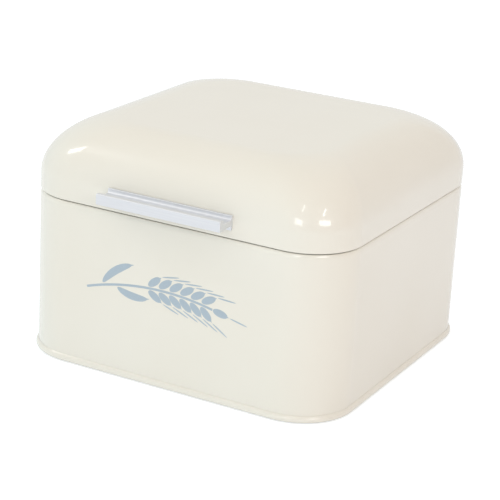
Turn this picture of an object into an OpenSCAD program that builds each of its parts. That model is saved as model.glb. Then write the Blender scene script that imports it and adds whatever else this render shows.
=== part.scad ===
// Bread box of sheet steel: a rounded square body, and a drawn lid with a crowned
// top that swings up and back on two hinges behind the rear wall.
// X runs left to right, Y front to back, Z up. The box stands on its foot pads at Z = 0,
// and the origin is under the middle of the whole object, handle and hinges included.

/* [Box] */
// Width of the box over its side walls
body_w = 250; // [200:1:320]
// Depth of the box over its front and rear walls
body_d = 245; // [200:1:320]
// Height of the wall, from the underside of the foot bead to the top of the rim
wall_h = 119.6; // [80:0.1:180]
// Radius of the upright corners
corner_r = 40; // [36:1:50]
// Thickness of the steel sheet
sheet_t = 0.8; // [0.6:0.1:1.0]
// Radius of the roll along the top of the wall
rim_r = 1.6; // [1.4:0.1:2.0]
// Width of the folded seam down the rear wall
lap_w = 8; // [5:0.5:10]
// Radius of a vent hole in the rear wall
vent_r = 2; // [1:0.25:2.5]
// Vent holes on each side of the rear seam
vent_n = 3; // [1:1:3]
// Distance between vent holes
vent_pitch = 9; // [7:0.5:9]
// Depth of the vent holes below the rim
vent_drop = 28; // [20:1:60]

/* [Base] */
// Height of the bead that seams the base to the wall
bead_h = 5; // [3.5:0.1:8]
// How far the bead stands out from the wall
bead_out = 1.8; // [1.4:0.1:3]
// Height of the floor above the underside of the bead
floor_lift = 4.4; // [3:0.1:8]
// Radius of a foot pad
foot_r = 7; // [4:0.5:10]
// Distance from the walls to the middle of a foot pad
foot_in = 26; // [20:1:45]
// How far the foot pads stand below the bead
foot_stand = 0.6; // [0.3:0.1:2]

/* [Lid] */
// Gap between the rim and the lower edge of the lid
lid_gap = 0.4; // [0.3:0.1:2]
// Height of the lid's upright band
skirt_h = 12.3; // [12:0.1:30]
// Height of the crown above the band
crown_h = 39; // [20:1:60]
// Distance that the crown's curve runs in from the walls
crown_in = 45.4; // [30:0.2:70]
// Corner radius of the flat on top
top_r = 34.4; // [24:0.2:45]
// Radius of the turned hem along the lower edge
hem_r = 1.2; // [1.0:0.1:1.4]
// Height of the hem's turned-up leaf
hem_h = 4; // [3:0.25:4.25]

/* [Handle] */
// Length of the handle
handle_l = 97; // [80:1:140]
// How far the handle stands out from the lid
handle_reach = 17; // [14:0.5:28]
// Height of the front grip
grip_h = 7.8; // [6:0.1:12]
// Thickness of the front grip
grip_t = 3.8; // [3:0.1:6]
// How far the grip sits above the middle of the web
grip_lift = 1.05; // [0:0.05:1.5]
// Radius of the grip's long edges
grip_edge_r = 1; // [0.4:0.1:1.4]
// Thickness of the web between grip and seat
web_t = 4.3; // [4:0.1:6]
// Height of the seat that lies on the lid
seat_h = 10.5; // [9:0.5:13]
// Thickness of the seat
seat_t = 2; // [1.5:0.1:3]
// Radius of the coves in the handle's upper channel
cove_r = 1.8; // [0.6:0.1:2.2]
// Height of the web's middle above the lower edge of the lid
handle_z = 11.8; // [10:0.1:13]
// Distance between the two handle screws
screw_pitch = 64; // [40:1:72]
// Radius of a handle screw's thread
screw_r = 1.5; // [1.25:0.05:1.75]
// Length of a handle screw under its head
screw_l = 11; // [7:0.5:14]
// Radius of a screw washer
washer_r = 3.5; // [3.2:0.1:4]
// Thickness of a screw washer
washer_t = 0.5; // [0.4:0.1:1]

/* [Hinges] */
// Distance from the side walls to the middle of each hinge
hinge_in = 70; // [60:1:73]
// Width of a hinge
hinge_w = 40; // [32:1:44]
// Thickness of a hinge leaf
leaf_t = 1.1; // [0.8:0.1:1.4]
// Radius of a hinge pin
pin_r = 1.4; // [1.2:0.1:2]
// Height of the leaf on the wall
body_leaf_h = 13; // [10:0.5:24]
// Distance between the two rivets in a leaf
rivet_pitch = 26; // [18:1:28]
// Radius of a rivet's shank
rivet_r = 1.6; // [1.2:0.1:1.8]
// Thickness of the backing plates behind the rivets
plate_t = 1; // [0.6:0.1:1.5]
// Angle at which the stop lug holds the open lid
open_deg = 100; // [90:1:110]

/* [Fits] */
// Radial clearance of a hinge pin in the lid leaf's knuckle
pin_clear = 0.05; // [0.02:0.01:0.1]
// Gap between neighbouring knuckles
knuckle_gap = 0.3; // [0.2:0.05:0.5]
// Radial clearance of a pin, screw or rivet in its own hole
hole_clear = 0.04; // [0.02:0.01:0.1]
// Clearance between the wall and the base's seam
seam_clear = 0.05; // [0.02:0.01:0.1]
// Gap between the open lid's stop lug and the leaf it meets
stop_gap = 0.1; // [0.05:0.05:0.3]
// Gap between the rim bumpers and the closed lid
bumper_gap = 0.1; // [0.05:0.05:0.3]

/* [Hidden] */
$fn = 48;

// Heights
bead_z = foot_stand;                      // underside of the foot bead
rim_z = bead_z + wall_h;                  // top of the wall's rolled rim
lid_z = rim_z + lid_gap;                  // lower edge of the lid
band_z = lid_z + skirt_h;                 // top of the lid's upright band
axis_z = rim_z + lid_gap / 2;             // hinge axis, level with the middle of the gap

// Base
bead_edge_r = min(0.95 * bead_out, 0.48 * bead_h);
skirt_in = sheet_t + seam_clear;          // outer face of the base's inner skirt, in from the wall's face
foot_sink = floor_lift + foot_stand;      // height of a foot pad, from bench to floor
lap_clear = 1;                            // bare wall above the bead and below the rim's roll

// Lid
corner_n = 12;                            // facets round each upright corner
crown_n = 12;                             // facets up the crown
hem_n = 8;                                // facets round the hem
hem_step = 0.4;                           // height over which the hem's leaf fades into the band

// Handle screws, from the inside of the lid outwards
head_r = 2 * screw_r - 0.2;
head_h = 1.2 * screw_r;
recess_w = 0.7;                           // width of the cross recess's slots
washer_y = sheet_t + washer_t;            // washer's inner face, in from the lid's face
flat_clear = 0.2;                         // ring of flattened sheet round a washer

// Hinges, in a frame whose origin is on the pin and whose Y points away from the wall
hinge_x = body_w / 2 - hinge_in;
knuckle_r = pin_r + leaf_t;
knuckle_l = (hinge_w - 2 * knuckle_gap) / 3;
leaf_gap = 0.4;                           // between a leaf and the other leaf's knuckles
leaf_z = knuckle_r + leaf_gap;            // nearest edge of each leaf to the axis
pin_head_r = pin_r + 0.6;
pin_head_t = 0.9;
rivet_head_r = 1.85 * rivet_r;
rivet_head_h = 0.75 * rivet_r;
tail_r = 1.5 * rivet_r;
tail_h = 0.5 * rivet_r;
plate_h = 2 * tail_r + 1.2;
plate_w = rivet_pitch + 10;
leaf_edge = 0.8;                          // leaf beyond the rivet heads
plate_gap = 0.3;                          // between the lid's backing plate and its hem
lid_rivet_z = lid_z + hem_h + hem_step + plate_gap + plate_h / 2 - axis_z;
body_rivet_z = -(leaf_z + body_leaf_h / 2);
lid_leaf_h = lid_rivet_z + rivet_head_r + leaf_edge - leaf_z;
lug_w = 6;                                // stop lug, drawn where it stands with the lid open
lug_l = 5.2;
lug_t = 1.5;
lug_y = stop_gap - pin_r;
lug_reach = max(lug_y * cos(open_deg), (lug_y + lug_t) * cos(open_deg)) + lug_l * sin(open_deg);

// Whole object
hinge_reach = knuckle_r + lug_reach;      // how far the hinges stand out behind the wall
body_y = (handle_reach - hinge_reach) / 2; // the box's middle, set back for the handle
bumper_w = 10;
bumper_x = body_w / 2 - corner_r - bumper_w;

CREAM = [0.92, 0.905, 0.85];
ALLOY = [0.76, 0.8, 0.84];
PLATED = [0.66, 0.65, 0.62];
SILICONE = [0.3, 0.29, 0.26];
RUBBER = [0.2, 0.2, 0.2];

// ---- shared shapes ----

// Stands the box's own parts over the box's middle
module at_box() translate([0, body_y, 0]) children();

// A hinge's own frame, on the left (-1) or right (1)
module at_hinge(side) at_box() translate([side * hinge_x, body_d / 2 + knuckle_r, axis_z]) children();

// Carries a profile round the box's outline. The profile's X is measured outwards from
// the wall's outer face, and its Y is height.
module around_box() {
    for (i = [0:3]) {
        spin = 90 * i;
        across = i % 2 == 0 ? body_w : body_d;
        along = i % 2 == 0 ? body_d : body_w;
        rotate([0, 0, spin]) {
            translate([across / 2, 0, 0]) rotate([90, 0, 0])
                linear_extrude(along - 2 * corner_r, center = true) children();
            translate([across / 2 - corner_r, along / 2 - corner_r, 0])
                rotate_extrude(angle = 90) translate([corner_r, 0]) children();
        }
    }
}

// The box's outline, drawn in by an inset
module box_outline(inset) {
    r = corner_r - inset;
    square([body_w - 2 * corner_r, body_d - 2 * inset], center = true);
    square([body_w - 2 * inset, body_d - 2 * corner_r], center = true);
    for (x = [-1, 1], y = [-1, 1])
        translate([x * (body_w / 2 - corner_r), y * (body_d / 2 - corner_r)]) circle(r);
}

// A rectangle with round corners, in the first quadrant
module soft_rect(size, r) {
    translate([r, 0]) square([size.x - 2 * r, size.y]);
    translate([0, r]) square([size.x, size.y - 2 * r]);
    for (x = [r, size.x - r], y = [r, size.y - r]) translate([x, y]) circle(r);
}

// A cylinder along Y, from y0 to y1
module rod_y(r, y0, y1) translate([0, y1, 0]) rotate([90, 0, 0]) cylinder(r = r, h = y1 - y0);

// A cylinder along X, centred on the origin
module rod_x(r, l) rotate([0, 90, 0]) cylinder(r = r, h = l, center = true);

// Puts its children at each place in a row of two along X
module pair_x(pitch) for (x = [-1, 1]) translate([x * pitch / 2, 0, 0]) children();

// ---- box ----

// Section of the wall, with the sheet rolled inwards along its top
module wall_section() {
    roll_z = wall_h - rim_r;
    translate([-sheet_t, sheet_t]) square([sheet_t, roll_z - sheet_t]);
    translate([-rim_r, roll_z]) difference() {
        circle(rim_r);
        circle(rim_r - sheet_t);
        translate([0, -rim_r]) square(rim_r);
    }
}

module body_wall() color(CREAM) at_box() difference() {
    translate([0, 0, bead_z]) {
        around_box() wall_section();
        translate([-lap_w / 2, body_d / 2 - sheet_t / 2, bead_h + lap_clear])
            cube([lap_w, 1.5 * sheet_t, wall_h - 2 * rim_r - bead_h - 2 * lap_clear]);
    }
    for (side = [-1, 1]) {
        translate([side * hinge_x, body_d / 2, axis_z + body_rivet_z])
            pair_x(rivet_pitch) rod_y(rivet_r + hole_clear, -2 * sheet_t, sheet_t);
        for (i = [0:vent_n - 1])
            translate([side * (lap_w / 2 + vent_pitch * (i + 0.6)), body_d / 2, rim_z - vent_drop])
                rod_y(vent_r, -2 * sheet_t, sheet_t);
    }
}

// Section of the channel that grips the foot of the wall, and of its round bead
module seam_section() {
    r = bead_edge_r;
    difference() {
        translate([seam_clear - r, 0]) soft_rect([bead_out - seam_clear + r, bead_h], r);
        translate([seam_clear - 2 * r, sheet_t]) square([2 * r, bead_h]);
    }
    translate([-skirt_in - sheet_t, 0]) square([skirt_in + sheet_t + seam_clear, sheet_t]);
    translate([-skirt_in - sheet_t, 0]) square([sheet_t, floor_lift + sheet_t]);
}

module base_panel() color(CREAM) at_box() translate([0, 0, bead_z]) {
    around_box() seam_section();
    translate([0, 0, floor_lift]) linear_extrude(sheet_t) box_outline(skirt_in);
}

module foot(x, y) color(RUBBER) at_box()
    translate([x * (body_w / 2 - foot_in), y * (body_d / 2 - foot_in), 0])
        rotate_extrude() intersection() {
            translate([-foot_r, 0]) soft_rect([2 * foot_r, foot_sink + 1], 1);
            square([foot_r, foot_sink]);
        }

// Section of the soft bumper that lies along the inner half of the rim
module bumper_section() difference() {
    translate([-2 * rim_r, rim_z - rim_r]) square([rim_r, rim_r + lid_gap + hem_r]);
    translate([-rim_r, rim_z - rim_r]) circle(rim_r);
    translate([-hem_r, lid_z + hem_r]) circle(hem_r + bumper_gap);
    translate([-2 * rim_r, lid_z + hem_r / 2]) square(2 * rim_r);
}

module rim_bumper(side) color(SILICONE) at_box()
    translate([side * bumper_x, -body_d / 2, 0]) rotate([90, 0, -90])
        linear_extrude(bumper_w, center = true) bumper_section();

// ---- lid ----

// One ring of points round the box's outline, drawn in by an inset to a corner radius
function ring(inset, r, z) = [
    for (i = [0:3], k = [0:corner_n])
        let (a = 90 * i + 90 * k / corner_n,
             sx = i == 0 || i == 3 ? 1 : -1,
             sy = i < 2 ? 1 : -1)
        [sx * (body_w / 2 - inset - r) + r * cos(a), sy * (body_d / 2 - inset - r) + r * sin(a), z]
];

// The crown's rings, from band to flat, for a surface that lies a depth t inside the lid
function crown_ring(t, k) =
    let (a = 90 * k / crown_n,
         run = (crown_in - t) * (1 - cos(a)),
         r = corner_r - t - (corner_r - t - top_r) * run / (crown_in - t))
    ring(t + run, r, band_z + (crown_h - t) * sin(a));

function edge_ring(inset, z) = ring(inset, corner_r - inset, z);

// From the top down the outside, round the hem, and up the inside
function lid_rings() = concat(
    [for (k = [crown_n:-1:0]) crown_ring(0, k)],
    [for (k = [0:hem_n]) edge_ring(hem_r * (1 - cos(180 * k / hem_n)),
                                   lid_z + hem_r * (1 - sin(180 * k / hem_n)))],
    [edge_ring(2 * hem_r, lid_z + hem_h)],
    [edge_ring(sheet_t, lid_z + hem_h + hem_step)],
    [for (k = [0:crown_n]) crown_ring(sheet_t, k)]
);

module lid_skin() {
    rings = lid_rings();
    n = len(rings[0]);
    last = len(rings) - 1;
    polyhedron(
        points = [for (r = rings, p = r) p],
        faces = concat(
            [[for (k = [n - 1:-1:0]) k]],
            [for (i = [0:last - 1], k = [0:n - 1], half = [0, 1])
                let (a = i * n + k, b = i * n + (k + 1) % n)
                half == 0 ? [a, b, b + n] : [a, b + n, a + n]],
            [[for (k = [0:n - 1]) last * n + k]]
        )
    );
}

module lid_shell() color(CREAM) at_box() difference() {
    lid_skin();
    translate([0, -body_d / 2, lid_z + handle_z]) pair_x(screw_pitch) {
        rod_y(screw_r + hole_clear, -sheet_t, 3 * sheet_t);
        rod_y(washer_r + flat_clear, sheet_t, 3 * sheet_t);
    }
    for (side = [-1, 1])
        translate([side * hinge_x, body_d / 2, axis_z + lid_rivet_z])
            pair_x(rivet_pitch) rod_y(rivet_r + hole_clear, -2 * sheet_t, sheet_t);
}

// ---- handle ----

// Section of the extruded bar. X is measured outwards from the lid, Y up from the web's middle.
module handle_section() {
    translate([handle_reach - grip_t, grip_lift - grip_h / 2]) soft_rect([grip_t, grip_h], grip_edge_r);
    translate([seat_t / 2, -web_t / 2]) square([handle_reach - (seat_t + grip_t) / 2, web_t]);
    translate([0, -seat_h / 2]) square([seat_t, seat_h]);
    for (side = [0, 1])
        translate([side == 0 ? seat_t : handle_reach - grip_t, web_t / 2]) mirror([side, 0])
            difference() {
                translate([-seat_t / 4, -web_t / 4]) square([cove_r + seat_t / 4, cove_r + web_t / 4]);
                translate([cove_r, cove_r]) circle(cove_r);
            }
}

module at_handle() at_box() translate([0, -body_d / 2, lid_z + handle_z]) children();

module handle_bar() color(ALLOY) at_handle() difference() {
    rotate([90, 0, -90]) linear_extrude(handle_l, center = true) handle_section();
    pair_x(screw_pitch) rod_y(screw_r + hole_clear, -screw_l, 1);
}

module handle_screws() color(PLATED) at_handle() pair_x(screw_pitch) {
    rod_y(screw_r, washer_y - screw_l, washer_y);
    difference() {
        rod_y(head_r, washer_y, washer_y + head_h);
        for (a = [0, 90]) rotate([0, a, 0])
            translate([0, washer_y + head_h, 0]) cube([head_r * 1.2, head_h, recess_w], center = true);
    }
}

module handle_washers() color(PLATED) at_handle() pair_x(screw_pitch) difference() {
    rod_y(washer_r, sheet_t, washer_y);
    rod_y(screw_r + hole_clear, 0, 2 * washer_y);
}

// ---- hinges ----

// A leaf: a plate from the axis side outwards, its knuckles and the tabs that join them.
// up is 1 for the lid's leaf and -1 for the wall's.
module leaf(up, height, rivet_z, knuckle_at, bore_r) difference() {
    union() {
        translate([-hinge_w / 2, -knuckle_r, up > 0 ? leaf_z : -leaf_z - height])
            cube([hinge_w, leaf_t, height]);
        for (x = knuckle_at) {
            translate([x, 0, 0]) rod_x(knuckle_r, knuckle_l);
            translate([x - knuckle_l / 2, -knuckle_r, up > 0 ? 0 : -leaf_z - 1])
                cube([knuckle_l, leaf_t, leaf_z + 1]);
        }
    }
    rod_x(bore_r, 2 * hinge_w);
    translate([0, 0, rivet_z]) pair_x(rivet_pitch) rod_y(rivet_r + hole_clear, -2 * knuckle_r, knuckle_r);
}

module body_leaf(side) color(PLATED) at_hinge(side)
    leaf(-1, body_leaf_h, body_rivet_z, [-1, 1] * (knuckle_l + knuckle_gap), pin_r + hole_clear);

module lid_leaf(side) color(PLATED) at_hinge(side) {
    leaf(1, lid_leaf_h, lid_rivet_z, [0], pin_r + pin_clear);
    rotate([open_deg, 0, 0]) translate([-lug_w / 2, lug_y, -lug_l])
        cube([lug_w, lug_t, lug_l - pin_r - leaf_t / 3]);
}

module hinge_pin(side) color(PLATED) at_hinge(side) {
    rod_x(pin_r, hinge_w);
    for (x = [-1, 1]) translate([x * (hinge_w + pin_head_t) / 2, 0, 0]) rod_x(pin_head_r, pin_head_t);
}

// A rivet along Y with its domed head outwards, through everything from y0 to y1
module rivet(y0, y1) {
    dome_r = (rivet_head_r * rivet_head_r + rivet_head_h * rivet_head_h) / (2 * rivet_head_h);
    rod_y(rivet_r, y0, y1);
    rod_y(tail_r, y0 - tail_h, y0);
    translate([0, y1, 0]) rotate([-90, 0, 0]) rotate_extrude() intersection() {
        translate([0, rivet_head_h - dome_r]) circle(dome_r, $fn = 96);
        square([rivet_head_r, rivet_head_h]);
    }
}

module rivets(side, rivet_z) color(PLATED) at_hinge(side)
    translate([0, 0, rivet_z]) pair_x(rivet_pitch)
        rivet(-knuckle_r - sheet_t - plate_t, leaf_t - knuckle_r);

module backplate(side, rivet_z) color(PLATED) at_hinge(side)
    translate([0, -knuckle_r - sheet_t - plate_t, rivet_z]) difference() {
        translate([-plate_w / 2, 0, -plate_h / 2]) cube([plate_w, plate_t, plate_h]);
        pair_x(rivet_pitch) rod_y(rivet_r + hole_clear, -plate_t, 2 * plate_t);
    }

body_wall();
base_panel();
lid_shell();
handle_bar();
handle_screws();
handle_washers();
body_leaf(-1);  // left_body_leaf
body_leaf(1);  // right_body_leaf
lid_leaf(-1);  // left_lid_leaf
lid_leaf(1);  // right_lid_leaf
hinge_pin(-1);  // left_hinge_pin
hinge_pin(1);  // right_hinge_pin
rivets(-1, body_rivet_z);  // left_body_rivets
rivets(1, body_rivet_z);  // right_body_rivets
rivets(-1, lid_rivet_z);  // left_lid_rivets
rivets(1, lid_rivet_z);  // right_lid_rivets
backplate(-1, body_rivet_z);  // left_body_backplate
backplate(1, body_rivet_z);  // right_body_backplate
backplate(-1, lid_rivet_z);  // left_lid_backplate
backplate(1, lid_rivet_z);  // right_lid_backplate
rim_bumper(-1);  // left_rim_bumper
rim_bumper(1);  // right_rim_bumper
foot(-1, -1);  // front_left_foot
foot(1, -1);  // front_right_foot
foot(-1, 1);  // rear_left_foot
foot(1, 1);  // rear_right_foot
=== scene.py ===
import math

import bmesh
import bpy
from mathutils import Matrix, Vector


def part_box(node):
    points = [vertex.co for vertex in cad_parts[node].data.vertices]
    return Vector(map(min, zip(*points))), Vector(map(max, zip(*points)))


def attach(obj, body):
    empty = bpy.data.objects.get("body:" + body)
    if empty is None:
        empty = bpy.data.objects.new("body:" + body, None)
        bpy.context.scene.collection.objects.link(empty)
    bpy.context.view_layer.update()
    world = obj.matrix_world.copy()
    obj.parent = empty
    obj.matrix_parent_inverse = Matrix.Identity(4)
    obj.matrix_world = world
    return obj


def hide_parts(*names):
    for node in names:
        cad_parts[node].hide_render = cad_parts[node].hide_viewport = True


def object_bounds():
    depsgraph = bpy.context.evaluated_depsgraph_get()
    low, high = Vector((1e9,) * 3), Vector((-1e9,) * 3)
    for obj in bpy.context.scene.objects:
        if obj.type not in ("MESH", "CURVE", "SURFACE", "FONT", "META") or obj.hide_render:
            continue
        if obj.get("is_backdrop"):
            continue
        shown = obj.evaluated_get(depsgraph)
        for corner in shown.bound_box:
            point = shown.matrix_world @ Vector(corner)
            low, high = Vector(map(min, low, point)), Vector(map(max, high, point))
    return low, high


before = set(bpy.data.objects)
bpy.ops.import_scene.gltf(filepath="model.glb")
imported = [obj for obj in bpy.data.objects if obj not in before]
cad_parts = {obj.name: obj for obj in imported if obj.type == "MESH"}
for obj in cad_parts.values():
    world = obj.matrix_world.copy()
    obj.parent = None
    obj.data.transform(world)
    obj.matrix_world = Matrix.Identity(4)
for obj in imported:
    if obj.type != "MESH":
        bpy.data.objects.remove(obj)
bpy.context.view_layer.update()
mm = 0.001


# getting about in edit mode

def startMesh(name):
    bpy.ops.object.select_all(action="DESELECT")
    bpy.ops.object.add(type="MESH", location=(0, 0, 0))
    piece = bpy.context.object
    piece.name = name
    piece.data.name = name
    bpy.ops.object.mode_set(mode="EDIT")
    bpy.ops.mesh.select_mode(type="VERT")
    return piece


def pick(kind, test):
    # selects what passes the test, and nothing else
    bpy.ops.mesh.select_mode(type=kind)
    bpy.ops.mesh.select_all(action="DESELECT")
    mesh = bpy.context.object.data
    cage = bmesh.from_edit_mesh(mesh)
    parts = {"VERT": cage.verts, "EDGE": cage.edges, "FACE": cage.faces}[kind]
    parts.index_update()
    for part in parts:
        if test(part):
            part.select_set(True)
    cage.select_flush_mode()
    bmesh.update_edit_mesh(mesh)


def edgeMiddle(edge):
    return (edge.verts[0].co + edge.verts[1].co) / 2


def runsAlong(edge, axis):
    # true for an edge that lies along X, Y or Z (0, 1 or 2)
    across = edge.verts[1].co - edge.verts[0].co
    return abs(across[axis]) > 0.99 * across.length


def faceOut():
    bpy.ops.mesh.select_all(action="SELECT")
    bpy.ops.mesh.remove_doubles(threshold=0.001 * mm)
    bpy.ops.mesh.normals_make_consistent(inside=False)


def selectOnly(*pieces):
    # the first becomes the active one
    bpy.ops.object.select_all(action="DESELECT")
    for piece in pieces:
        piece.select_set(True)
    bpy.context.view_layer.objects.active = pieces[0]


def applyModifier(piece, kind, **settings):
    bpy.ops.object.mode_set(mode="OBJECT")
    bpy.context.view_layer.objects.active = piece
    modifier = piece.modifiers.new(kind.lower(), kind)
    for name, value in settings.items():
        setattr(modifier, name, value)
    bpy.ops.object.modifier_apply(modifier=modifier.name)


def polish(piece, material, smoothAngle=32):
    # soft shading with the flats kept flat
    bpy.ops.object.mode_set(mode="OBJECT")
    selectOnly(piece)
    bpy.ops.object.shade_smooth_by_angle(angle=math.radians(smoothAngle))
    applyModifier(piece, "WEIGHTED_NORMAL", keep_sharp=True, weight=50)
    piece.data.materials.clear()
    piece.data.materials.append(material)
    return piece


def putOn(piece, body, slot, *nodes):
    # the piece takes its place on its body
    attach(piece, body)
    if nodes:
        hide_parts(*nodes)
    print("made", piece.name)
    return piece


def ownCopy(model, name):
    # a copy with a mesh of its own
    twin = model.copy()
    twin.data = model.data.copy()
    twin.name = name
    twin.data.name = name
    bpy.context.scene.collection.objects.link(twin)
    return twin


def copyOf(model, name, move):
    # a copy moved by a vector, which goes into its mesh
    twin = ownCopy(model, name)
    selectOnly(twin)
    twin.location = move
    bpy.ops.object.transform_apply(location=True, rotation=False, scale=False)
    return twin


def boxMiddle(node):
    low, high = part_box(node)
    return (low + high) / 2


# finishes

def toLinear(hexCode):
    channels = [int(hexCode[i:i + 2], 16) / 255 for i in (1, 3, 5)]
    linear = [c / 12.92 if c <= 0.04045 else ((c + 0.055) / 1.055) ** 2.4 for c in channels]
    return (*linear, 1)


def addNode(tree, kind, settings=None, links=None):
    node = tree.nodes.new("ShaderNode" + kind)
    for name, value in (settings or {}).items():
        if isinstance(name, int) or name in node.inputs:
            node.inputs[name].default_value = value
        else:
            setattr(node, name, value)
    for name, source in (links or {}).items():
        tree.links.new(source, node.inputs[name])
    return node


def newMaterial(name):
    material = bpy.data.materials.new(name)
    material.use_nodes = True
    material.node_tree.nodes.clear()
    return material, material.node_tree


enamelLook = {
    "cream": "#E9E6DA",
    "creamDeep": "#E6E2D4",
    "patch": 70 * mm,        # size of the faint drift in tone from spraying
    "peel": 2.6 * mm,        # spacing of the orange peel, true to a stoved powder coat
    "peelDepth": 0.012 * mm,
    "roughness": 0.25,
    "coat": 0.8,
    "coatRoughness": 0.02,
}


def makeCreamEnamel():
    # stoved gloss powder coat on steel: a pale body colour under a hard clear gloss,
    # with a trace of orange peel that only shows where a lamp is mirrored
    material, tree = newMaterial("cream_enamel_gloss")
    place = addNode(tree, "TexCoord").outputs["Object"]
    drift = addNode(tree, "TexNoise", {"Scale": 1 / enamelLook["patch"], "Detail": 1.0}, {"Vector": place})
    tone = addNode(tree, "Mix", {"data_type": "RGBA", 6: toLinear(enamelLook["cream"]),
                                 7: toLinear(enamelLook["creamDeep"])},
                   {0: drift.outputs["Fac"]})
    peel = addNode(tree, "TexNoise", {"Scale": 1 / enamelLook["peel"], "Detail": 1.5}, {"Vector": place})
    relief = addNode(tree, "Bump", {"Strength": 1.0, "Distance": enamelLook["peelDepth"]},
                     {"Height": peel.outputs["Fac"]})
    shader = addNode(tree, "BsdfPrincipled",
                     {"Roughness": enamelLook["roughness"], "IOR": 1.5,
                      "Coat Weight": enamelLook["coat"], "Coat Roughness": enamelLook["coatRoughness"],
                      "Coat IOR": 1.5},
                     {"Base Color": tone.outputs[2], "Normal": relief.outputs["Normal"],
                      "Coat Normal": relief.outputs["Normal"]})
    addNode(tree, "OutputMaterial", None, {"Surface": shader.outputs["BSDF"]})
    return material


aluminiumLook = {
    "silver": "#E9EAED",
    "silverDeep": "#E1E3E7",
    "lines": 0.35 * mm,      # die lines, drawn about twice as coarse as real ones so that they show
    "lineLength": 60 * mm,
    "lineDepth": 0.004 * mm,
    "roughness": (0.44, 0.58),
}


def makeSatinAluminium():
    # extruded bar, satin anodised: a cool silver with a broad soft shine
    # and fine die lines along its length
    material, tree = newMaterial("anodised_aluminium_satin")
    place = addNode(tree, "TexCoord").outputs["Object"]
    stretch = addNode(tree, "Mapping",
                      {"Scale": (1 / aluminiumLook["lineLength"], 1 / aluminiumLook["lines"],
                                 1 / aluminiumLook["lines"])},
                      {"Vector": place})
    lines = addNode(tree, "TexNoise", {"Scale": 1.0, "Detail": 2.0}, {"Vector": stretch.outputs["Vector"]})
    tone = addNode(tree, "Mix", {"data_type": "RGBA", 6: toLinear(aluminiumLook["silver"]),
                                 7: toLinear(aluminiumLook["silverDeep"])},
                   {0: lines.outputs["Fac"]})
    smooth, rough = aluminiumLook["roughness"]
    sheen = addNode(tree, "MapRange", {"To Min": smooth, "To Max": rough}, {"Value": lines.outputs["Fac"]})
    relief = addNode(tree, "Bump", {"Strength": 1.0, "Distance": aluminiumLook["lineDepth"]},
                     {"Height": lines.outputs["Fac"]})
    shader = addNode(tree, "BsdfPrincipled", {"Metallic": 1.0},
                     {"Base Color": tone.outputs[2], "Roughness": sheen.outputs["Result"],
                      "Normal": relief.outputs["Normal"]})
    addNode(tree, "OutputMaterial", None, {"Surface": shader.outputs["BSDF"]})
    return material


platedLook = {
    "zinc": "#C9C8C2",
    "zincDeep": "#BDBCB6",
    "grain": 5 * mm,         # the plating's cloudiness
    "grainDepth": 0.004 * mm,
    "roughness": (0.2, 0.3),
}


def makePlatedSteel():
    # pressed steel, bright zinc plated: a grey mirror with a slight cloud in it
    material, tree = newMaterial("zinc_plated_steel")
    place = addNode(tree, "TexCoord").outputs["Object"]
    cloud = addNode(tree, "TexNoise", {"Scale": 1 / platedLook["grain"], "Detail": 3.0}, {"Vector": place})
    tone = addNode(tree, "Mix", {"data_type": "RGBA", 6: toLinear(platedLook["zinc"]),
                                 7: toLinear(platedLook["zincDeep"])},
                   {0: cloud.outputs["Fac"]})
    smooth, rough = platedLook["roughness"]
    sheen = addNode(tree, "MapRange", {"To Min": smooth, "To Max": rough}, {"Value": cloud.outputs["Fac"]})
    relief = addNode(tree, "Bump", {"Strength": 1.0, "Distance": platedLook["grainDepth"]},
                     {"Height": cloud.outputs["Fac"]})
    shader = addNode(tree, "BsdfPrincipled", {"Metallic": 1.0},
                     {"Base Color": tone.outputs[2], "Roughness": sheen.outputs["Result"],
                      "Normal": relief.outputs["Normal"]})
    addNode(tree, "OutputMaterial", None, {"Surface": shader.outputs["BSDF"]})
    return material


rubberLook = {
    # colour, roughness and how much of the light sinks in
    "bumper_silicone": ("#4A473F", 0.45, 0.1),
    "pad_rubber": ("#3A3937", 0.6, 0.0),
    "grit": 0.5 * mm,        # mould texture
    "gritDepth": 0.02 * mm,
    "unevenness": 0.06,      # how far the roughness strays either way
}


def makeRubber(name):
    # moulded rubber or silicone: even colour, a dull skin with a fine mould texture
    hexCode, roughness, scatter = rubberLook[name]
    stray = rubberLook["unevenness"]
    material, tree = newMaterial(name)
    place = addNode(tree, "TexCoord").outputs["Object"]
    grit = addNode(tree, "TexNoise", {"Scale": 1 / rubberLook["grit"], "Detail": 2.0}, {"Vector": place})
    relief = addNode(tree, "Bump", {"Strength": 1.0, "Distance": rubberLook["gritDepth"]},
                     {"Height": grit.outputs["Fac"]})
    sheen = addNode(tree, "MapRange", {"To Min": roughness - stray, "To Max": roughness + stray},
                    {"Value": grit.outputs["Fac"]})
    shader = addNode(tree, "BsdfPrincipled",
                     {"Base Color": toLinear(hexCode), "IOR": 1.42, "Subsurface Weight": scatter,
                      "Subsurface Scale": 1 * mm},
                     {"Roughness": sheen.outputs["Result"], "Normal": relief.outputs["Normal"]})
    addNode(tree, "OutputMaterial", None, {"Surface": shader.outputs["BSDF"]})
    return material


inkLook = {
    "blue": "#A5B5C0",
    "blueThin": "#ADBCC5",
    "screen": 0.8 * mm,      # the mesh mark of screen printing, drawn coarse enough to show
    "screenDepth": 0.01 * mm,
    "roughness": 0.32,
    "coat": 0.3,
    "coatRoughness": 0.12,
}


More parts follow.
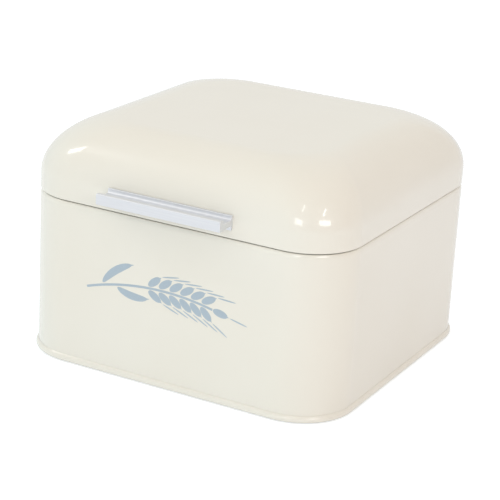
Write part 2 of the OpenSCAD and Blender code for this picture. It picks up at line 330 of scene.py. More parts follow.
def makePrintInk():
    # screen-printed enamel ink fired on the coat: a flat grey blue, a little duller than the gloss
    material, tree = newMaterial("screen_print_ink")
    place = addNode(tree, "TexCoord").outputs["Object"]
    screen = addNode(tree, "TexNoise", {"Scale": 1 / inkLook["screen"], "Detail": 1.0}, {"Vector": place})
    tone = addNode(tree, "Mix", {"data_type": "RGBA", 6: toLinear(inkLook["blue"]),
                                 7: toLinear(inkLook["blueThin"])},
                   {0: screen.outputs["Fac"]})
    relief = addNode(tree, "Bump", {"Strength": 1.0, "Distance": inkLook["screenDepth"]},
                     {"Height": screen.outputs["Fac"]})
    shader = addNode(tree, "BsdfPrincipled",
                     {"Roughness": inkLook["roughness"], "IOR": 1.5, "Coat Weight": inkLook["coat"],
                      "Coat Roughness": inkLook["coatRoughness"]},
                     {"Base Color": tone.outputs[2], "Normal": relief.outputs["Normal"]})
    addNode(tree, "OutputMaterial", None, {"Surface": shader.outputs["BSDF"]})
    return material


creamEnamel = makeCreamEnamel()
satinAluminium = makeSatinAluminium()
platedSteel = makePlatedSteel()
bumperSilicone = makeRubber("bumper_silicone")
footRubber = makeRubber("pad_rubber")
printInk = makePrintInk()
print("finishes mixed")


# sheet pieces that follow the box's round-cornered outline

lidLow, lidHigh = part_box("lid_shell")
boxWidth = lidHigh.x - lidLow.x
boxDepth = lidHigh.y - lidLow.y
middleY = (lidHigh.y + lidLow.y) / 2

sheetSizes = {
    "thickness": 0.8 * mm,
    "cornerRadius": 40 * mm,
    "cornerSteps": 30,
    "plugLength": 4.8 * mm,  # of the drill, half of it to each side of the sheet's face
}


def sweepOutline(name, rings, capFirst, capLast):
    # each ring is how far it lies in from the wall's face, its corner radius and its height
    piece = startMesh(name)
    steps = sheetSizes["cornerSteps"]
    perRing = 4 * (steps + 1)
    for inset, radius, height in rings:
        spot = (0, middleY, height)
        bpy.ops.mesh.primitive_plane_add(size=1, location=spot)
        bpy.ops.transform.resize(value=(boxWidth - 2 * inset, boxDepth - 2 * inset, 1),
                                 center_override=spot)
        bpy.ops.mesh.bevel(offset=radius, segments=steps, affect="VERTICES")
        bpy.ops.mesh.delete(type="ONLY_FACE")
    for i in range(len(rings) - 1):
        pick("VERT", lambda v: i * perRing <= v.index < (i + 2) * perRing)
        bpy.ops.mesh.bridge_edge_loops()
    for wanted, first in ((capFirst, 0), (capLast, (len(rings) - 1) * perRing)):
        if wanted:
            pick("VERT", lambda v: first <= v.index < first + perRing)
            bpy.ops.mesh.edge_face_add()
    faceOut()
    return piece


def ringAt(inset, height):
    return (inset, sheetSizes["cornerRadius"] - inset, height)


def drill(piece, places, radius):
    # round holes along Y, cut with one set of plugs
    plugs = startMesh("plugs")
    for place in places:
        bpy.ops.mesh.primitive_cylinder_add(vertices=32, radius=radius, depth=sheetSizes["plugLength"],
                                            location=place, rotation=(math.radians(90), 0, 0))
    applyModifier(piece, "BOOLEAN", operation="DIFFERENCE", object=plugs, solver="EXACT")
    bpy.data.objects.remove(plugs)


# lid

lidSizes = {
    "crownRun": 45.4 * mm,   # how far the crown's curve comes in from the walls
    "crownHeight": 39 * mm,
    "topRadius": 34.4 * mm,  # corners of the flat on top
    "crownSteps": 30,
    "hemRadius": 1.2 * mm,
    "hemLift": 0.15 * mm,    # opens the seam's shadow a little
    "hemLeaf": 4 * mm,
    "hemSteps": 10,
    "screwRadius": 1.54 * mm,
    "screwPitch": 64 * mm,
}


def buildLid():
    rings = []
    bandTop = lidHigh.z - lidSizes["crownHeight"]
    for i in range(lidSizes["crownSteps"], -1, -1):
        angle = math.radians(90 * i / lidSizes["crownSteps"])
        share = 1 - math.cos(angle)
        radius = sheetSizes["cornerRadius"] + (lidSizes["topRadius"] - sheetSizes["cornerRadius"]) * share
        rings.append((lidSizes["crownRun"] * share, radius,
                      bandTop + lidSizes["crownHeight"] * math.sin(angle)))
    hemFoot = lidLow.z + lidSizes["hemLift"]
    for i in range(lidSizes["hemSteps"] + 1):
        angle = math.pi * i / lidSizes["hemSteps"]
        rings.append(ringAt(lidSizes["hemRadius"] * (1 - math.cos(angle)),
                            hemFoot + lidSizes["hemRadius"] * (1 - math.sin(angle))))
    rings.append(ringAt(2 * lidSizes["hemRadius"], lidLow.z + lidSizes["hemLeaf"]))
    lid = sweepOutline("lid_pressing", rings, True, False)
    applyModifier(lid, "SOLIDIFY", thickness=sheetSizes["thickness"], offset=-1, use_even_offset=True)
    barLow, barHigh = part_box("handle_bar")
    screwHeight = (barLow.z + barHigh.z) / 2
    places = [(side * lidSizes["screwPitch"] / 2, lidLow.y, screwHeight) for side in (-1, 1)]
    drill(lid, places, lidSizes["screwRadius"])
    return putOn(polish(lid, creamEnamel), "lid", "cream_enamel", "lid_shell")


# wall

wallLow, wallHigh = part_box("body_wall")
wallSizes = {
    "rollRadius": 1.6 * mm,
    "rollTurn": 270,         # how far round the edge is rolled, in degrees
    "rollSteps": 24,
    "shoulder": 4 * mm,      # height of the soft curve from the wall's face up into the roll
    "lapWidth": 8 * mm,
    "lapStand": 0.8 * mm,
    "lapClear": 1 * mm,      # bare wall under the roll and above the bead
    "lapEdge": 0.45 * mm,
    "ventRadius": 2 * mm,
    "ventPitch": 9 * mm,
    "ventStart": 5.4 * mm,   # from the seam's edge to the middle of the first vent
    "ventsEachSide": 3,
    "ventDrop": 28 * mm,
}


def buildWall():
    roll = wallSizes["rollRadius"]
    rings = [ringAt(0, wallLow.z)]
    for i in range(wallSizes["rollSteps"] + 1):
        angle = math.radians(wallSizes["rollTurn"] * i / wallSizes["rollSteps"])
        lift = wallSizes["shoulder"] if angle < math.pi / 2 else roll
        rings.append(ringAt(roll * (1 - math.cos(angle)),
                            wallHigh.z - lift + lift * math.sin(angle)))
    wall = sweepOutline("wall_wrap", rings, False, False)
    applyModifier(wall, "SOLIDIFY", thickness=sheetSizes["thickness"], offset=-1, use_even_offset=True)
    raiseLapSeam(wall)
    side = wallSizes["lapWidth"] / 2
    places = [(way * (side + wallSizes["ventStart"] + wallSizes["ventPitch"] * i), lidHigh.y,
               wallHigh.z - wallSizes["ventDrop"])
              for way in (-1, 1) for i in range(wallSizes["ventsEachSide"])]
    drill(wall, places, wallSizes["ventRadius"])
    return putOn(polish(wall, creamEnamel), "box", "cream_enamel", "body_wall")


def raiseLapSeam(wall):
    # the folded seam down the middle of the rear wall
    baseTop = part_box("base_panel")[1].z
    lapTop = wallHigh.z - wallSizes["shoulder"] - wallSizes["lapClear"]
    lapFoot = baseTop + wallSizes["lapClear"]
    half = wallSizes["lapWidth"] / 2

    def onRearFace(face):
        return face.normal.y > 0.99 and abs(face.calc_center_median().y - lidHigh.y) < 0.01 * mm

    bpy.context.view_layer.objects.active = wall
    bpy.ops.object.mode_set(mode="EDIT")
    cuts = [((-half, 0, 0), (1, 0, 0)), ((half, 0, 0), (1, 0, 0)),
            ((0, 0, lapFoot), (0, 0, 1)), ((0, 0, lapTop), (0, 0, 1))]
    for spot, facing in cuts:
        pick("FACE", onRearFace)
        bpy.ops.mesh.bisect(plane_co=spot, plane_no=facing)
    pick("FACE", lambda f: onRearFace(f) and abs(f.calc_center_median().x) < half
         and lapFoot < f.calc_center_median().z < lapTop)
    bpy.ops.mesh.extrude_region_move(TRANSFORM_OT_translate={"value": (0, wallSizes["lapStand"], 0)})
    outer = lidHigh.y + wallSizes["lapStand"]
    pick("EDGE", lambda e: abs(edgeMiddle(e).y - outer) < 0.01 * mm)
    bpy.ops.mesh.bevel(offset=wallSizes["lapEdge"], segments=4, affect="EDGES")
    bpy.ops.object.mode_set(mode="OBJECT")


# base

baseLow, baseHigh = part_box("base_panel")
baseSizes = {
    "beadHeight": 5 * mm,
    "beadEdge": 1.71 * mm,   # lower shoulder of the bead
    "beadDrop": 3 * mm,      # height of its upper slope
    "beadSlope": 50,         # how steeply that slope faces up where it leaves the wall, in degrees
    "beadUnder": 84,         # turn of the lower shoulder, short of level so that no two rings share a height
    "channelTilt": 0.04 * mm,    # for the same reason
    "fillet": 0.4 * mm,
    "edgeSteps": 10,
    "filletSteps": 4,
    "clearance": 0.05 * mm,
}


def arcRings(middleInset, middleZ, radius, startAngle, endAngle, steps):
    # angles from the outward direction, turning upwards
    found = []
    for i in range(steps + 1):
        angle = math.radians(startAngle + (endAngle - startAngle) * i / steps)
        found.append(ringAt(middleInset - radius * math.cos(angle), middleZ + radius * math.sin(angle)))
    return found


def buildBase():
    sheet = sheetSizes["thickness"]
    gap = baseSizes["clearance"]
    edge = baseSizes["beadEdge"]
    fillet = baseSizes["fillet"]
    steps = baseSizes["edgeSteps"]
    few = baseSizes["filletSteps"]
    beadOut = baseHigh.x - boxWidth / 2
    beadTop = baseLow.z + baseSizes["beadHeight"]
    skirt = sheet + gap                      # face of the inner skirt, in from the wall's face
    rings = arcRings(skirt + fillet, baseHigh.z - fillet, fillet, 90, 0, few)
    rings += [ringAt(skirt, baseLow.z + sheet), ringAt(-gap, baseLow.z + sheet + baseSizes["channelTilt"])]
    slope = math.radians(baseSizes["beadSlope"])
    for i in range(steps + 1):
        angle = slope * (1 - i / steps)
        reach = (beadOut - gap) * (math.cos(angle) - math.cos(slope)) / (1 - math.cos(slope))
        drop = baseSizes["beadDrop"] * (1 - math.sin(angle) / math.sin(slope))
        rings.append(ringAt(-gap - reach, beadTop - drop))
    rings += arcRings(edge - beadOut, baseLow.z + edge, edge, 0, -baseSizes["beadUnder"], steps)
    rings += arcRings(skirt + sheet - fillet, baseLow.z + fillet, fillet, -90, -180, few)
    rings += arcRings(skirt + sheet + fillet, baseHigh.z - sheet - fillet, fillet, 0, 90, few)
    base = sweepOutline("base_pressing", rings, True, True)
    return putOn(polish(base, creamEnamel), "box", "cream_enamel", "base_panel")


buildLid()
buildWall()
buildBase()


# handle

handleSizes = {
    "seatThickness": 2 * mm,
    "webThickness": 4.3 * mm,
    "gripThickness": 3.8 * mm,
    "gripHeight": 7.8 * mm,
    "gripLift": 1.05 * mm,   # grip's middle above the web's
    "gripEdge": 1 * mm,
    "cove": 1.75 * mm,
    "innerEdge": 0.35 * mm,
    "endEdge": 0.2 * mm,
}


def buildHandle():
    low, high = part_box("handle_bar")
    webZ = (low.z + high.z) / 2
    seatFace = high.y - handleSizes["seatThickness"]
    gripBack = low.y + handleSizes["gripThickness"]
    webTop = webZ + handleSizes["webThickness"] / 2
    webFoot = webZ - handleSizes["webThickness"] / 2
    gripTop = webZ + handleSizes["gripLift"] + handleSizes["gripHeight"] / 2
    gripFoot = gripTop - handleSizes["gripHeight"]
    bar = startMesh("handle_extrusion")
    bpy.ops.mesh.primitive_grid_add(x_subdivisions=3, y_subdivisions=3, size=3,
                                    rotation=(0, math.radians(90), 0))
    # the section's grid lines go to their places, front to back and then up
    for start, place in ((1.5, high.y), (0.5, seatFace), (-0.5, gripBack), (-1.5, low.y)):
        pick("VERT", lambda v: abs(v.co.y - start) < 0.1)
        bpy.ops.transform.translate(value=(0, place - start, 0))
    for start, seatPlace, gripPlace in ((1.5, high.z, gripTop), (0.5, webTop, webTop),
                                        (-0.5, webFoot, webFoot), (-1.5, low.z, gripFoot)):
        for place, onSeat in ((seatPlace, True), (gripPlace, False)):
            pick("VERT", lambda v: abs(v.co.z - start) < 0.1 and (v.co.y > gripBack + mm) == onSeat)
            bpy.ops.transform.translate(value=(0, 0, place - start))
    pick("FACE", lambda f: gripBack < f.calc_center_median().y < seatFace
         and not webFoot < f.calc_center_median().z < webTop)
    bpy.ops.mesh.delete(type="FACE")
    bpy.ops.mesh.select_all(action="SELECT")
    bpy.ops.transform.translate(value=(low.x, 0, 0))
    bpy.ops.mesh.extrude_region_move(TRANSFORM_OT_translate={"value": (high.x - low.x, 0, 0)})
    faceOut()

    def roundEdges(lines, radius, steps):
        # long edges, each given by its place across the section
        pick("EDGE", lambda e: runsAlong(e, 0)
             and any((edgeMiddle(e).yz - Vector(line)).length < 0.01 * mm for line in lines))
        bpy.ops.mesh.bevel(offset=radius, segments=steps, affect="EDGES")

    roundEdges([(seatFace, webTop), (gripBack, webTop)], handleSizes["cove"], 8)
    roundEdges([(low.y, gripTop), (low.y, gripFoot), (gripBack, gripTop)], handleSizes["gripEdge"], 8)
    roundEdges([(seatFace, webFoot), (gripBack, gripFoot), (seatFace, high.z), (seatFace, low.z)],
               handleSizes["innerEdge"], 4)
    pick("EDGE", lambda e: not runsAlong(e, 0)
         and abs(e.link_faces[0].normal.x - e.link_faces[1].normal.x) > 0.5)
    bpy.ops.mesh.bevel(offset=handleSizes["endEdge"], segments=3, affect="EDGES")
    return putOn(polish(bar, satinAluminium, 40), "lid", "satin_aluminium", "handle_bar")


buildHandle()


# turned pieces: rivets, hinge pins and foot pads

def turnPiece(name, start, axis, profile, sides=36):
    # profile holds how far along the axis and at what radius each step lies
    tilt = {0: (0, math.radians(90), 0), 1: (math.radians(90), 0, 0), 2: (0, 0, 0)}[axis]
    along = Vector([1 if i == axis else 0 for i in range(3)])
    piece = startMesh(name)
    bpy.ops.mesh.primitive_circle_add(vertices=sides, radius=profile[0][1], fill_type="NGON",
                                      location=start + along * profile[0][0], rotation=tilt)
    for (place, radius), (nextPlace, nextRadius) in zip(profile, profile[1:]):
        bpy.ops.mesh.extrude_region_move(TRANSFORM_OT_translate={"value": along * (nextPlace - place)})
        growth = nextRadius / radius
        bpy.ops.transform.resize(value=[1 if i == axis else growth for i in range(3)],
                                 center_override=start + along * nextPlace)
    faceOut()
    bpy.ops.object.mode_set(mode="OBJECT")
    return piece


def domeSteps(place, radius, height, steps=7):
    # a shallow dome over the place, closed by a small flat
    ball = (radius ** 2 + height ** 2) / (2 * height)
    found = []
    for i in range(1, steps + 1):
        ringRadius = radius * (1 - i / (steps + 0.5))
        found.append((place + height - ball + math.sqrt(ball ** 2 - ringRadius ** 2), ringRadius))
    return found


rivetSizes = {
    "shank": 1.6 * mm,
    "tail": 2.4 * mm,
    "tailHeight": 0.8 * mm,
    "headHeight": 1.2 * mm,
    "headLip": 0.15 * mm,
    "pitch": 26 * mm,
}


def buildRivetPair():
    low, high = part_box("left_body_rivets")
    head = (high.z - low.z) / 2
    reach = high.y - low.y
    underHead = reach - rivetSizes["headHeight"]
    lip = rivetSizes["headLip"]
    tail = rivetSizes["tail"]
    tailTop = rivetSizes["tailHeight"]
    profile = [(0, tail - 3 * lip), (lip, tail - lip), (3 * lip, tail), (tailTop, tail),
               (tailTop, rivetSizes["shank"]), (underHead, rivetSizes["shank"]),
               (underHead, head - lip), (underHead + lip, head)]
    profile += domeSteps(underHead + lip, head, rivetSizes["headHeight"] - lip)
    middle = boxMiddle("left_body_rivets")
    start = Vector((middle.x - rivetSizes["pitch"] / 2, low.y, middle.z))
    rivet = turnPiece("rivet_pair", start, 1, profile)
    partner = copyOf(rivet, "partner", (rivetSizes["pitch"], 0, 0))
    selectOnly(rivet, partner)
    bpy.ops.object.join()
    return polish(rivet, platedSteel)


pinSizes = {
    "radius": 1.35 * mm,     # turns freely in the rolled knuckles
    "headThickness": 0.9 * mm,
    "edge": 0.25 * mm,
}


def buildPin():
    low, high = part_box("left_hinge_pin")
    head = (high.z - low.z) / 2
    reach = high.x - low.x
    thick = pinSizes["headThickness"]
    edge = pinSizes["edge"]
    start = Vector((low.x, (low.y + high.y) / 2, (low.z + high.z) / 2))
    firstHalf = [(0, head - 2.5 * edge), (0.3 * edge, head - edge), (edge, head), (thick, head),
                 (thick, pinSizes["radius"])]
    profile = firstHalf + [(reach - place, radius) for place, radius in reversed(firstHalf)]
    return polish(turnPiece("pin_rod", start, 0, profile), platedSteel)


footSizes = {
    "edge": 1 * mm,
    "dish": 0.25 * mm,       # hollow in the underside
    "dishRadius": 4.2 * mm,
    "edgeSteps": 5,
}


def buildFoot():
    low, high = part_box("front_left_foot")
    radius = (high.x - low.x) / 2
    edge = footSizes["edge"]
    profile = [(footSizes["dish"], footSizes["dishRadius"] - 2 * footSizes["dish"]),
               (0, footSizes["dishRadius"])]
    for i in range(footSizes["edgeSteps"] + 1):
        angle = math.radians(90 * i / footSizes["edgeSteps"])
        profile.append((edge * (1 - math.cos(angle)), radius - edge + edge * math.sin(angle)))
    profile.append((high.z - low.z, radius))
    start = Vector(((low.x + high.x) / 2, (low.y + high.y) / 2, low.z))
    return polish(turnPiece("foot_pad", start, 2, profile, sides=48), footRubber)


def spread(model, modelNode, ending, slot, places):
    # a copy of the model on each node, riding on the node's body, and the model itself goes
    for node, body in places.items():
        name = node.rsplit("_", 1)[0] + ending
        twin = copyOf(model, name, boxMiddle(node) - boxMiddle(modelNode))
        putOn(twin, body, slot, node)
    bpy.data.objects.remove(model)


spread(buildRivetPair(), "left_body_rivets", "_rivet_pair", "plated_steel",
       {"left_body_rivets": "box", "right_body_rivets": "box",
        "left_lid_rivets": "lid", "right_lid_rivets": "lid"})
spread(buildPin(), "left_hinge_pin", "_pin_rod", "plated_steel",
       {"left_hinge_pin": "box", "right_hinge_pin": "box"})
spread(buildFoot(), "front_left_foot", "_pad", "foot_rubber",
       {"front_left_foot": "box", "front_right_foot": "box",
        "rear_left_foot": "box", "rear_right_foot": "box"})


# hinge leaves, each a plate with tabs rolled round the pin

leafSizes = {
    "thickness": 1.1 * mm,
    "plateGap": 0.4 * mm,    # between the plate and the knuckles
    "knuckleGap": 0.3 * mm,
    "cornerRadius": 2.2 * mm,
    "rollAngle": 318,        # how far round the pin the tabs are rolled, in degrees
    "rollSteps": 26,
    "edge": 0.16 * mm,
    "lugWidth": 6 * mm,
    "lugThickness": 1.5 * mm,
    "lugReach": 5.2 * mm,
    "lugSink": 0.77 * mm,    # how deep the lug is rooted in the knuckle
    "openAngle": 100,
    "stopGap": 0.1 * mm,
}


def buildLeaf(kind):
    low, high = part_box("left_" + kind + "_leaf")
    axis = boxMiddle("left_hinge_pin")
    up = 1 if kind == "lid" else -1
    thick = leafSizes["thickness"]
    knuckle = axis.y - low.y
    width = high.x - low.x
    knuckleLength = (width - 2 * leafSizes["knuckleGap"]) / 3
    cut = knuckleLength / 2 + (0 if kind == "lid" else leafSizes["knuckleGap"])
    nearZ = axis.z + up * (knuckle + leafSizes["plateGap"])
    farZ = high.z if kind == "lid" else low.z
    leaf = startMesh(kind + "_leaf_plate")
    bpy.ops.mesh.primitive_cube_add(size=1, location=(axis.x, low.y + thick / 2, (nearZ + farZ) / 2))
    bpy.ops.transform.resize(value=(width, thick, abs(farZ - nearZ)),
                             center_override=(axis.x, low.y + thick / 2, (nearZ + farZ) / 2))
    pick("EDGE", lambda e: runsAlong(e, 1) and abs(edgeMiddle(e).z - farZ) < 0.01 * mm)
    bpy.ops.mesh.bevel(offset=leafSizes["cornerRadius"], segments=6, affect="EDGES")
    for way in (-1, 1):
        pick("FACE", lambda f: abs(f.calc_center_median().z - nearZ) < 0.01 * mm)
        bpy.ops.mesh.bisect(plane_co=(axis.x + way * cut, 0, 0), plane_no=(1, 0, 0))
    tabs = [0] if kind == "lid" else [-1, 1]
    for tab in tabs:
        def onTab(face, height):
            middle = face.calc_center_median()
            inside = abs(middle.x - axis.x) < cut if tab == 0 else (middle.x - axis.x) * tab > cut
            return inside and abs(middle.z - height) < 0.01 * mm and abs(face.normal.z) > 0.9
        pick("FACE", lambda f: onTab(f, nearZ))
        bpy.ops.mesh.extrude_region_move(TRANSFORM_OT_translate={"value": (0, 0, axis.z - nearZ)})
        pick("FACE", lambda f: onTab(f, axis.z))
        bpy.ops.mesh.spin(steps=leafSizes["rollSteps"], angle=math.radians(leafSizes["rollAngle"]) * up,
                          center=axis, axis=(1, 0, 0))
    if kind == "lid":
        # stop lug, pressed out of the middle knuckle; it meets the wall's leaf when the lid is open
        turn = Matrix.Rotation(math.radians(leafSizes["openAngle"]), 3, "X")
        root = knuckle - leafSizes["lugSink"]
        middle = Vector((0, leafSizes["stopGap"] - (knuckle - thick) + leafSizes["lugThickness"] / 2,
                         -(leafSizes["lugReach"] + root) / 2))
        bpy.ops.mesh.primitive_cube_add(size=1, location=axis + turn @ middle,
                                        rotation=turn.to_euler(),
                                        scale=(leafSizes["lugWidth"], leafSizes["lugThickness"],
                                               leafSizes["lugReach"] - root))
    faceOut()
    applyModifier(leaf, "BEVEL", width=leafSizes["edge"], segments=2, limit_method="ANGLE",
                  angle_limit=math.radians(40))
    return polish(leaf, platedSteel)


for kind, body in (("body", "box"), ("lid", "lid")):
    spread(buildLeaf(kind), "left_" + kind + "_leaf", "_leaf_plate", "plated_steel",
           {"left_" + kind + "_leaf": body, "right_" + kind + "_leaf": body})


# the rest of the frame's own pieces keep their shape and get their finish

for name, material in (("handle_screws", platedSteel), ("handle_washers", platedSteel),
                       ("left_body_backplate", platedSteel), ("right_body_backplate", platedSteel),
                       ("left_lid_backplate", platedSteel), ("right_lid_backplate", platedSteel),
                       ("left_rim_bumper", bumperSilicone), ("right_rim_bumper", bumperSilicone)):
    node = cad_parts[name]
    for materialSlot in node.material_slots:
        materialSlot.material = material
print("kept pieces finished")


# printed ear of wheat on the front wall

wheatSizes = {
    "middle": (-4 * mm, 72 * mm),   # top of the stem's arc, across and up the front wall
    "arcRadius": 190 * mm,
    "stemFrom": -19.0,                # degrees along the arc
    "stemTo": 12.0,
    "stemWidth": 1.7 * mm,
    "grainLength": 13 * mm,
    "grainWidth": 5.4 * mm,
    "grainTip": 0.1,                  # the share of a blade's length that is its point
    "grainLean": 35,
    "grainPairs": 6,
    "grainFrom": -3.2,
    "grainStep": 2.55,
    "grainGap": 1.9 * mm,             # from the stem's middle to the foot of a grain
    "awnLength": 14 * mm,
    "awnWidth": 1 * mm,
    "awnTip": 0.02,
    "awnLean": {-1: 7, 1: 23},        # above the stem and below it
    "awnGap": 0.7 * mm,
    "endGap": 0.4,                    # from the stem's end to the last grain, in degrees
    "leafLength": 32 * mm,
    "leafWidth": 5.6 * mm,
    "leafTip": 0.08,
    "leafCurl": 42,
    "lowLeafShare": 0.85,             # the lower leaf's length beside the upper one's
    "leaves": ((-14.5, -1, 42), (-11, 1, 38)),     # degrees along the arc, side of the stem, lean
    "inkThickness": 0.06 * mm,
}


def flatBlade(name, length, width, tip, curl):
    # a pointed blade that starts at the origin and lies along X, in the upright plane
    blade = startMesh(name)
    half = length * (1 - tip) / 2
    bpy.ops.mesh.primitive_circle_add(vertices=32, radius=1, fill_type="NGON")
    bpy.ops.transform.resize(value=(half, width / 2, 1), center_override=(0, 0, 0))
    pick("VERT", lambda v: v.co.x > 0.99 * half)
    bpy.ops.transform.translate(value=(length * tip, 0, 0))
    bpy.ops.mesh.select_all(action="SELECT")
    bpy.ops.transform.translate(value=(half, 0, 0))
    if curl:
        applyModifier(blade, "SIMPLE_DEFORM", deform_method="BEND", deform_axis="Z",
                      angle=math.radians(curl))
    bpy.ops.object.mode_set(mode="OBJECT")
    blade.rotation_euler = (math.radians(90), 0, 0)
    bpy.ops.object.transform_apply(location=False, rotation=True, scale=False)
    return blade


def spotOnArc(degrees):
    angle = math.radians(degrees)
    x, z = wheatSizes["middle"]
    radius = wheatSizes["arcRadius"]
    return Vector((x + radius * math.sin(angle), 0, z + radius * (math.cos(angle) - 1)))


def pointing(degrees):
    angle = math.radians(degrees)
    return Vector((math.cos(angle), 0, -math.sin(angle)))


def layBlade(model, foot, degrees):
    # a copy with its foot at a place, pointing down from X by an angle
    twin = ownCopy(model, model.name)
    twin.rotation_euler = (0, math.radians(degrees), 0)
    twin.location = foot
    return twin


def buildWheatPrint():
    stem = startMesh("wheat_print")
    centre = Vector((wheatSizes["middle"][0], 0, wheatSizes["middle"][1] - wheatSizes["arcRadius"]))
    first = spotOnArc(wheatSizes["stemFrom"])
    bpy.ops.mesh.primitive_plane_add(size=wheatSizes["stemWidth"], location=first,
                                     rotation=(math.radians(90), math.radians(wheatSizes["stemFrom"]), 0))
    pick("VERT", lambda v: (v.co - first).x < 0)
    bpy.ops.mesh.delete(type="VERT")
    bpy.ops.mesh.select_all(action="SELECT")
    sweep = math.radians(wheatSizes["stemTo"] - wheatSizes["stemFrom"])
    bpy.ops.mesh.spin(steps=24, angle=-sweep, center=centre, axis=(0, 1, 0))
    bpy.ops.object.mode_set(mode="OBJECT")
    grain = flatBlade("grain", wheatSizes["grainLength"], wheatSizes["grainWidth"],
                      wheatSizes["grainTip"], 0)
    awn = flatBlade("awn", wheatSizes["awnLength"], wheatSizes["awnWidth"], wheatSizes["awnTip"], 0)
    upLeaf = flatBlade("up_leaf", wheatSizes["leafLength"], wheatSizes["leafWidth"],
                       wheatSizes["leafTip"], -wheatSizes["leafCurl"])
    downLeaf = flatBlade("down_leaf", wheatSizes["lowLeafShare"] * wheatSizes["leafLength"],
                         wheatSizes["leafWidth"], wheatSizes["leafTip"], wheatSizes["leafCurl"])
    parts = [stem]
    for i in range(wheatSizes["grainPairs"]):
        degrees = wheatSizes["grainFrom"] + wheatSizes["grainStep"] * i
        for way in (-1, 1):
            foot = spotOnArc(degrees) + pointing(degrees + way * 90) * wheatSizes["grainGap"]
            lean = degrees + way * wheatSizes["grainLean"]
            tip = foot + pointing(lean) * (wheatSizes["grainLength"] + wheatSizes["awnGap"])
            parts.append(layBlade(grain, foot, lean))
            parts.append(layBlade(awn, tip, degrees + way * wheatSizes["awnLean"][way]))
    endDegrees = wheatSizes["stemTo"] + wheatSizes["endGap"]
    foot = spotOnArc(endDegrees)
    parts.append(layBlade(grain, foot, endDegrees))
    tip = foot + pointing(endDegrees) * (wheatSizes["grainLength"] + wheatSizes["awnGap"])
    parts.append(layBlade(awn, tip, endDegrees))
    for model, (degrees, way, lean) in zip((upLeaf, downLeaf), wheatSizes["leaves"]):
        foot = spotOnArc(degrees) + pointing(degrees + way * 90) * wheatSizes["grainGap"]
        parts.append(layBlade(model, foot, degrees + way * lean))
    for model in (grain, awn, upLeaf, downLeaf):
        bpy.data.objects.remove(model)
    selectOnly(*parts)
    bpy.ops.object.join()
    stem.location = (0, lidLow.y - wheatSizes["inkThickness"] / 2, 0)
    bpy.ops.object.transform_apply(location=True, rotation=True, scale=True)
    applyModifier(stem, "SOLIDIFY", thickness=wheatSizes["inkThickness"], offset=0)
    return putOn(polish(stem, printInk), "box", "printed_ink")


buildWheatPrint()


# studio

studio = {
    "aim": (2.3 * mm, -4.4 * mm, -14.8 * mm),   # from the middle of the object
    "distance": 1279.7 * mm,
    "azimuth": 27.95,
    "elevation": 19.37,
    "roll": 3.21,
    "lens": 124.95,
    "sensor": 36,                          # the camera's own millimetres, as the lens
    "farthest": 50,                        # in metres, that the camera sees
    "world": 0.94,
    "coolSide": (0.84, 0.97, 1.06, 1),     # tent wall on the left, and on the right
    "warmSide": (0.35, 0.15, 0.13, 1),
    "rearSide": (0.87, 0.89, 0.89, 1),
    "ceiling": (0.99, 0.94, 0.88, 1),
    "coolToWarm": (0.0, 0.8),              # where each tone gives way to the next, along X, Y and Z
    "wallsToRear": (0.2, 0.8),
    "wallsToCeiling": (0.3, 0.9),
    "mirrored": (0.90, 0.90, 0.88, 1),     # paler tone in what the gloss mirrors, and how much of it
    "veil": 0.7,
    "backdrop": (1.1, 1.1, 1.1, 1),
    "floorSize": 8,                        # in metres
    "floorTone": "#E9EEF2",
    "floorGlow": 0.15,                     # how strongly the floor glows on the box
    "floorWhite": 0.4,                     # how strongly it glows to the camera
    "floorRoughness": 0.9,
    "lampAway": 1.6,                       # in metres, from the spot each lamp faces
    # that spot: in from the side wall, back from the front wall and up from the lid's foot
    "lampSpot": (20 * mm, 12 * mm, 22 * mm),
}

# soft boxes and slim lamps: the lid corner that each faces, the directions of its two ends
# (azimuth and elevation), its breadth in degrees and its brightness
lamps = {
    "left_box": ("left", (-76, 37), (-61, 52), 10, 5.5),
    "front_box": ("right", (0, 18), (14, 18), 14, 4.5),
    "right_box": ("right", (47, 21), (69, 21), 14, 6.0),
    "right_slim": ("right", (60, 40), (73, 53), 2.5, 9.0),
    "front_slim": ("right", (14, 46), (19, 62), 2, 5.0),
}


def towards(azimuth, elevation):
    around, up = math.radians(azimuth), math.radians(elevation)
    return Vector((math.sin(around) * math.cos(up), -math.cos(around) * math.cos(up), math.sin(up)))


def addLamp(name):
    corner, first, last, breadth, glow = lamps[name]
    side = 1 if corner == "right" else -1
    inward, rearward, upward = studio["lampSpot"]
    spot = Vector((side * (boxWidth / 2 - inward), lidLow.y + rearward, lidLow.z + upward))
    away = studio["lampAway"]
    ends = [towards(*first) * away, towards(*last) * away]
    data = bpy.data.lights.new(name, "AREA")
    data.shape = "RECTANGLE"
    data.size = (ends[1] - ends[0]).length
    data.size_y = 2 * away * math.tan(math.radians(breadth) / 2)
    data.energy = glow * math.pi * data.size * data.size_y
    lamp = bpy.data.objects.new(name, data)
    bpy.context.scene.collection.objects.link(lamp)
    back = (ends[0] + ends[1]).normalized()
    across = (ends[1] - ends[0]).normalized()
    across = (across - back * across.dot(back)).normalized()
    upright = back.cross(across)
    lamp.matrix_world = Matrix((across, upright, back)).transposed().to_4x4()
    lamp.location = spot + (ends[0] + ends[1]) / 2
    lamp.visible_camera = False


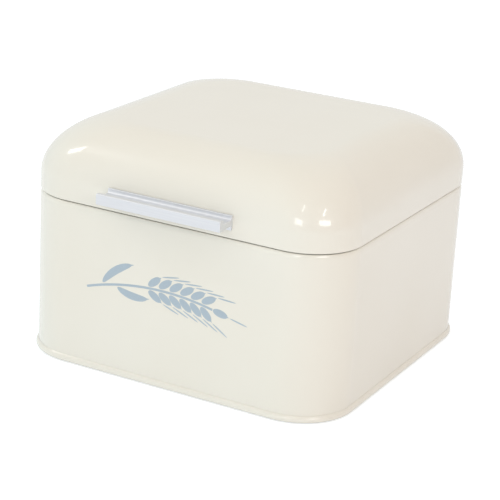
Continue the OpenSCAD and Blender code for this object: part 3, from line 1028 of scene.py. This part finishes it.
def layFloor():
    bpy.ops.object.select_all(action="DESELECT")
    bpy.ops.mesh.primitive_plane_add(size=studio["floorSize"], location=(0, 0, 0))
    floor = bpy.context.object
    floor.name = "studio_floor"
    floor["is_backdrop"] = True
    material, tree = newMaterial("pale_floor")
    seen = addNode(tree, "LightPath").outputs["Is Camera Ray"]
    glow = addNode(tree, "MapRange", {"To Min": studio["floorGlow"], "To Max": studio["floorWhite"]},
                   {"Value": seen})
    shader = addNode(tree, "BsdfPrincipled",
                     {"Base Color": toLinear(studio["floorTone"]),
                      "Roughness": studio["floorRoughness"], "Emission Color": (1, 1, 1, 1)},
                     {"Emission Strength": glow.outputs["Result"]})
    addNode(tree, "OutputMaterial", None, {"Surface": shader.outputs["BSDF"]})
    floor.data.materials.append(material)


def hangTent():
    # a white tent, cool on the left and warm on the right, with a plain rear and ceiling
    world = bpy.data.worlds.new("white_tent")
    bpy.context.scene.world = world
    world.use_nodes = True
    tree = world.node_tree
    background = tree.nodes["Background"]
    background.inputs["Strength"].default_value = studio["world"]
    direction = addNode(tree, "SeparateXYZ", None,
                        {"Vector": addNode(tree, "TexCoord").outputs["Generated"]})
    tone = addNode(tree, "RGB")
    tone.outputs["Color"].default_value = studio["coolSide"]
    tent = tone.outputs["Color"]
    for axis, span, nextTone in (("X", "coolToWarm", "warmSide"), ("Y", "wallsToRear", "rearSide"),
                                 ("Z", "wallsToCeiling", "ceiling")):
        first, last = studio[span]
        share = addNode(tree, "MapRange", {"From Min": first, "From Max": last},
                        {"Value": direction.outputs[axis]})
        tent = addNode(tree, "Mix", {"data_type": "RGBA", 7: studio[nextTone]},
                       {0: share.outputs["Result"], 6: tent}).outputs[2]
    # what the gloss mirrors is paler than what lights the box, and the camera sees plain white
    path = addNode(tree, "LightPath")
    veil = addNode(tree, "MapRange", {"To Max": studio["veil"]}, {"Value": path.outputs["Is Glossy Ray"]})
    mirrored = addNode(tree, "Mix", {"data_type": "RGBA", 7: studio["mirrored"]},
                       {0: veil.outputs["Result"], 6: tent})
    shown = addNode(tree, "Mix", {"data_type": "RGBA", 7: studio["backdrop"]},
                    {0: path.outputs["Is Camera Ray"], 6: mirrored.outputs[2]})
    tree.links.new(shown.outputs[2], background.inputs["Color"])


def placeCamera():
    low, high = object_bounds()
    middle = (low + high) / 2
    back = towards(studio["azimuth"], studio["elevation"])
    turn = back.to_track_quat("Z", "Y").to_matrix()
    turn = turn @ Matrix.Rotation(math.radians(studio["roll"]), 3, "Z")
    data = bpy.data.cameras.new("camera")
    camera = bpy.data.objects.new("camera", data)
    bpy.context.scene.collection.objects.link(camera)
    camera.matrix_world = turn.to_4x4()
    camera.location = middle + Vector(studio["aim"]) + back * studio["distance"]
    data.lens = studio["lens"]
    data.sensor_width = studio["sensor"]
    data.clip_end = studio["farthest"]
    bpy.context.scene.camera = camera


layFloor()
hangTent()
for name in lamps:
    addLamp(name)
placeCamera()
bpy.context.scene.view_settings.view_transform = "Standard"
print("studio ready")
